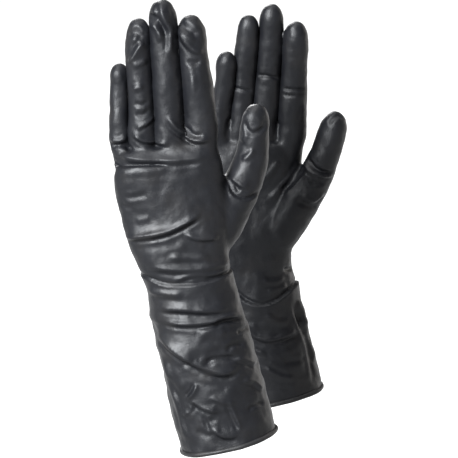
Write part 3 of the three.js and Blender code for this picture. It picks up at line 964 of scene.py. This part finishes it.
# ---------------------------------------------------------------- materials
def rubber(name, base, roughness, warm):
    """Matt-satin dipped rubber: fine grain, faint flow marks, darker and warmer patches at random."""
    material = bpy.data.materials.new(name)
    material.use_nodes = True
    nodes, links = material.node_tree.nodes, material.node_tree.links
    shader = nodes["Principled BSDF"]
    shader.inputs["Specular IOR Level"].default_value = 0.125
    place = nodes.new("ShaderNodeTexCoord").outputs["Object"]

    def grain(scale, detail, rough=0.55):
        node = nodes.new("ShaderNodeTexNoise")
        node.inputs["Scale"].default_value = scale
        node.inputs["Detail"].default_value = detail
        node.inputs["Roughness"].default_value = rough
        links.new(place, node.inputs["Vector"])
        return node.outputs["Fac"]

    def ramp(source, stops):
        node = nodes.new("ShaderNodeValToRGB")
        for k, (position, colour) in enumerate(stops):
            stop = node.color_ramp.elements[k] if k < 2 else node.color_ramp.elements.new(position)
            stop.position = position
            stop.color = colour
        links.new(source, node.inputs["Fac"])
        return node.outputs["Color"]

    def spread(source, low, high):
        node = nodes.new("ShaderNodeMapRange")
        node.inputs["From Min"].default_value = 0.3
        node.inputs["From Max"].default_value = 0.7
        node.inputs["To Min"].default_value = low
        node.inputs["To Max"].default_value = high
        links.new(source, node.inputs["Value"])
        return node.outputs["Result"]

    dark = tuple(value * 0.72 for value in base) + (1,)
    plain = (*base, 1)
    colours = ramp(grain(38, 4), [(0.3, dark), (0.55, plain), (0.75, (*warm, 1))])
    links.new(colours, shader.inputs["Base Color"])
    links.new(spread(grain(70, 5), roughness - 0.06, roughness + 0.09), shader.inputs["Roughness"])

    def relief(strength, distance, height):
        node = nodes.new("ShaderNodeBump")
        node.inputs["Strength"].default_value = strength
        node.inputs["Distance"].default_value = distance
        links.new(height, node.inputs["Height"])
        return node

    fine = relief(0.3, 0.4 * MM, grain(1500, 3, 0.6))
    flow = relief(0.35, 1.2 * MM, grain(150, 4, 0.5))
    links.new(fine.outputs["Normal"], flow.inputs["Normal"])
    links.new(flow.outputs["Normal"], shader.inputs["Normal"])
    return material


FILM_RUBBER = rubber("black_rubber_film", (0.0032, 0.0034, 0.0042), 0.42, (0.0050, 0.0048, 0.0050))
BEAD_RUBBER = rubber("black_rubber_bead", (0.007, 0.007, 0.0073), 0.46, (0.012, 0.0105, 0.010))


# ---------------------------------------------------------------- stage
def pale(name, glow):
    """Matt grey that gives off an even white light of its own, so that it stays white far away."""
    material = bpy.data.materials.new(name)
    material.use_nodes = True
    shader = material.node_tree.nodes["Principled BSDF"]
    shader.inputs["Base Color"].default_value = (0.12, 0.12, 0.12, 1)
    shader.inputs["Roughness"].default_value = 0.9
    shader.inputs["Emission Color"].default_value = (1, 1, 1, 1)
    shader.inputs["Emission Strength"].default_value = glow
    return material


def stage_piece(name, verts, faces, material):
    data = bpy.data.meshes.new(name)
    data.from_pydata(verts, [], faces)
    data.materials.append(material)
    obj = bpy.data.objects.new(name, data)
    bpy.context.scene.collection.objects.link(obj)


def cyclorama(level):
    """A round pale floor with a low pale wall far behind, all round."""
    radius, height, sides = 7, 1.6, 96
    angles = [TAU * i / sides for i in range(sides)]
    low = [(radius * math.cos(a), radius * math.sin(a), level) for a in angles]
    high = [(x, y, level + height) for x, y, _ in low]
    stage_piece("floor", low, [tuple(range(sides))], pale("pale_floor", 0.96))
    wall = [(i, (i + 1) % sides, sides + (i + 1) % sides, sides + i) for i in range(sides)]
    stage_piece("wall", low + high, wall, pale("pale_wall", 0.98))


def softbox(name, place, aim, size, watts, colour=(1, 1, 1)):
    light = bpy.data.lights.new(name, "AREA")
    light.shape = "RECTANGLE"
    light.size, light.size_y = size
    light.energy = watts
    light.color = colour
    obj = bpy.data.objects.new(name, light)
    obj.location = place
    obj.rotation_euler = (Vector(aim) - Vector(place)).to_track_quat("-Z", "Y").to_euler()
    bpy.context.scene.collection.objects.link(obj)


def camera(aim, distance, elevation, width):
    data = bpy.data.cameras.new("camera")
    data.lens = data.sensor_width * distance / width
    data.clip_end = 50
    obj = bpy.data.objects.new("camera", data)
    angle = math.radians(elevation)
    back = Vector((0, -math.cos(angle), math.sin(angle)))
    obj.location = Vector(aim) + back * distance
    obj.rotation_euler = (-back).to_track_quat("-Z", "Y").to_euler()
    bpy.context.scene.collection.objects.link(obj)
    bpy.context.scene.camera = obj


def studio():
    world = bpy.data.worlds.new("studio")
    world.use_nodes = True
    world.node_tree.nodes["Background"].inputs["Color"].default_value = (1, 1, 1, 1)
    world.node_tree.nodes["Background"].inputs["Strength"].default_value = 0.10
    bpy.context.scene.world = world
    bpy.context.scene.view_settings.view_transform = "Standard"
    middle = (0, 0.05, 0.15)
    softbox("key", (-1.05, -1.42, 1.05), middle, (0.75, 1.15), 320, (0.95, 0.975, 1))
    softbox("top", (-0.4, -0.5, 1.8), middle, (1.2, 1.2), 40)
    softbox("above", (0, 0.45, 1.7), middle, (1.6, 1.2), 22)
    softbox("back", (-0.5, 1.9, 1.1), middle, (0.8, 1.2), 45)
    softbox("fill", (1.3, -0.6, 0.3), middle, (0.3, 1.0), 2, (1, 0.86, 0.76))
    softbox("rim_right", (0.9, 0.7, 0.4), middle, (0.4, 1.0), 5, (1, 0.95, 0.9))


# ---------------------------------------------------------------- the scene
for made_glove in (LEFT, RIGHT):
    whole = whole_skin(made_glove)
    fold_skin(made_glove, whole)
    whole = open_mouth(made_glove, whole)
    rolled_bead(made_glove, whole, BEAD_RUBBER)
    divide(made_glove, whole, FILM_RUBBER)

cyclorama(CAD_BOX[0].z - 0.12)
studio()
camera(aim=(0.0003, 0, 0.142), distance=3.3, elevation=12, width=0.2987)
